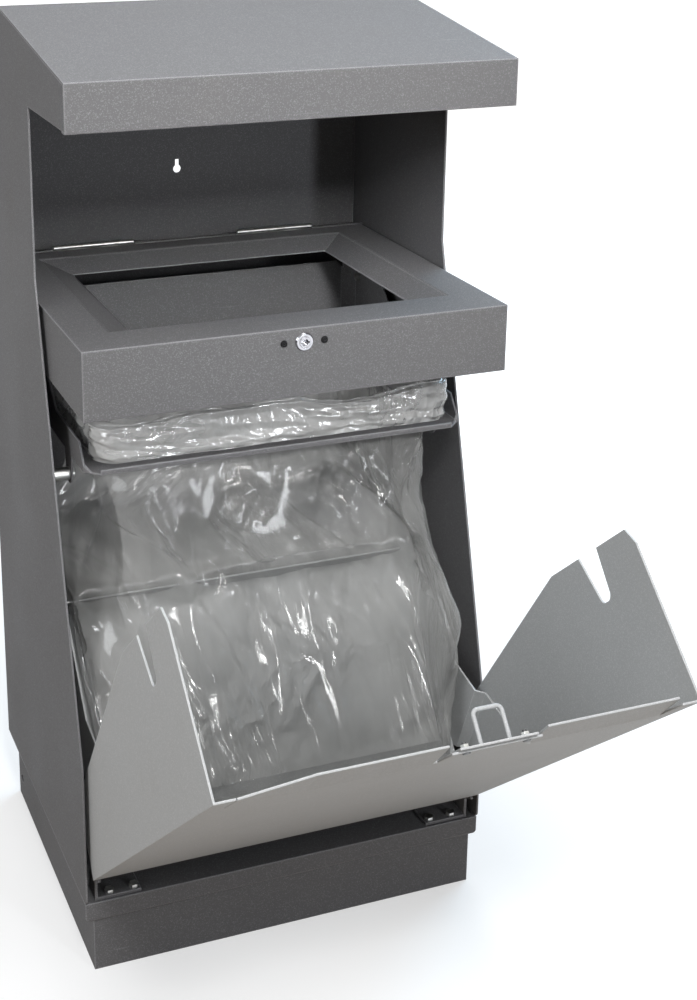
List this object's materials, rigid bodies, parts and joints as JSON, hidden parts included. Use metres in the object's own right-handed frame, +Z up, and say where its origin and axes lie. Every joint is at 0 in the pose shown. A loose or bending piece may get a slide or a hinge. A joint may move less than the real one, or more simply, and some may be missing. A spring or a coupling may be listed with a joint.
{
  "type": "recycling bin",
  "caption": "Free-standing sheet-steel recycling bin with canopy roof, hinged lockable insert, clear bag in a fixed frame and a silver flap that tips forward with its bag shelf",
  "frame": {"origin": "centre of the plinth's footprint, on the floor", "axes": "+X to the right seen from the front, +Y to the back, +Z up"},
  "size_m": [0.48, 0.8093, 1.0355],
  "materials": {
    "anthracite_paint": "fine-textured powder coat with a faint metallic fleck, satin",
    "silver_paint": "metallic silver powder coat, satin",
    "zinc_plated": "bright zinc plating, half-gloss",
    "dark_steel": "dark phosphated steel, dull",
    "lock_chrome": "polished chrome",
    "black_plastic": "black, half-gloss",
    "clear_film": "thin clear crumpled polyethylene film, glossy"
  },
  "bodies": {
    "housing": {"left_side_panel": "anthracite_paint", "right_side_panel": "anthracite_paint", "back_panel": "anthracite_paint", "roof": "anthracite_paint", "floor_tray": "anthracite_paint", "plinth": "anthracite_paint", "hinge_rail": "anthracite_paint", "hinge_fixed_leaves": "zinc_plated", "hinge_pins": "zinc_plated", "bag_frame": "anthracite_paint", "frame_studs": "zinc_plated", "frame_bolts": "zinc_plated", "bag": "clear_film", "left_pivot_bracket": "anthracite_paint", "right_pivot_bracket": "anthracite_paint", "bracket_screws": "zinc_plated"},
    "insert": {"insert_frame": "anthracite_paint", "hinge_moving_leaves": "zinc_plated", "lock_case": "dark_steel", "lock_barrel": "lock_chrome", "lock_screws": "black_plastic"},
    "plug": {"lock_plug": "lock_chrome"},
    "bolt": {"lock_bolt": "zinc_plated"},
    "front_flap": {"flap": "silver_paint", "left_flap_arm": "silver_paint", "right_flap_arm": "silver_paint", "bag_shelf": "silver_paint", "pivot_pins": "zinc_plated", "pivot_nuts": "zinc_plated", "striker_plate": "silver_paint", "striker_loop": "silver_paint", "striker_screws": "dark_steel", "striker_nuts": "zinc_plated"}
  },
  "joints": [
    {"name": "insert_hinge", "type": "hinge", "parent": "housing", "child": "insert", "pos_m": [0, 0.1685, 0.736], "axis": [-1, 0, 0], "range_deg": [0, 40]},
    {"name": "flap_pivot", "type": "hinge", "parent": "housing", "child": "front_flap", "pos_m": [0, -0.2066, 0.1423], "axis": [-1, 0, 0], "range_deg": [0, 49.7]},
    {"name": "lock_turn", "type": "hinge", "parent": "insert", "child": "plug", "pos_m": [0, -0.2075, 0.7178], "axis": [0, 1, 0], "range_deg": [0, 90]},
    {"name": "bolt_slide", "type": "slide", "parent": "insert", "child": "bolt", "axis": [0, 0, -1], "range_m": [0, 0.0198]}
  ],
  "couplings": [
    {"joint": "lock_turn", "follows": "bolt_slide", "rad_per_m": 79.3}
  ]
}
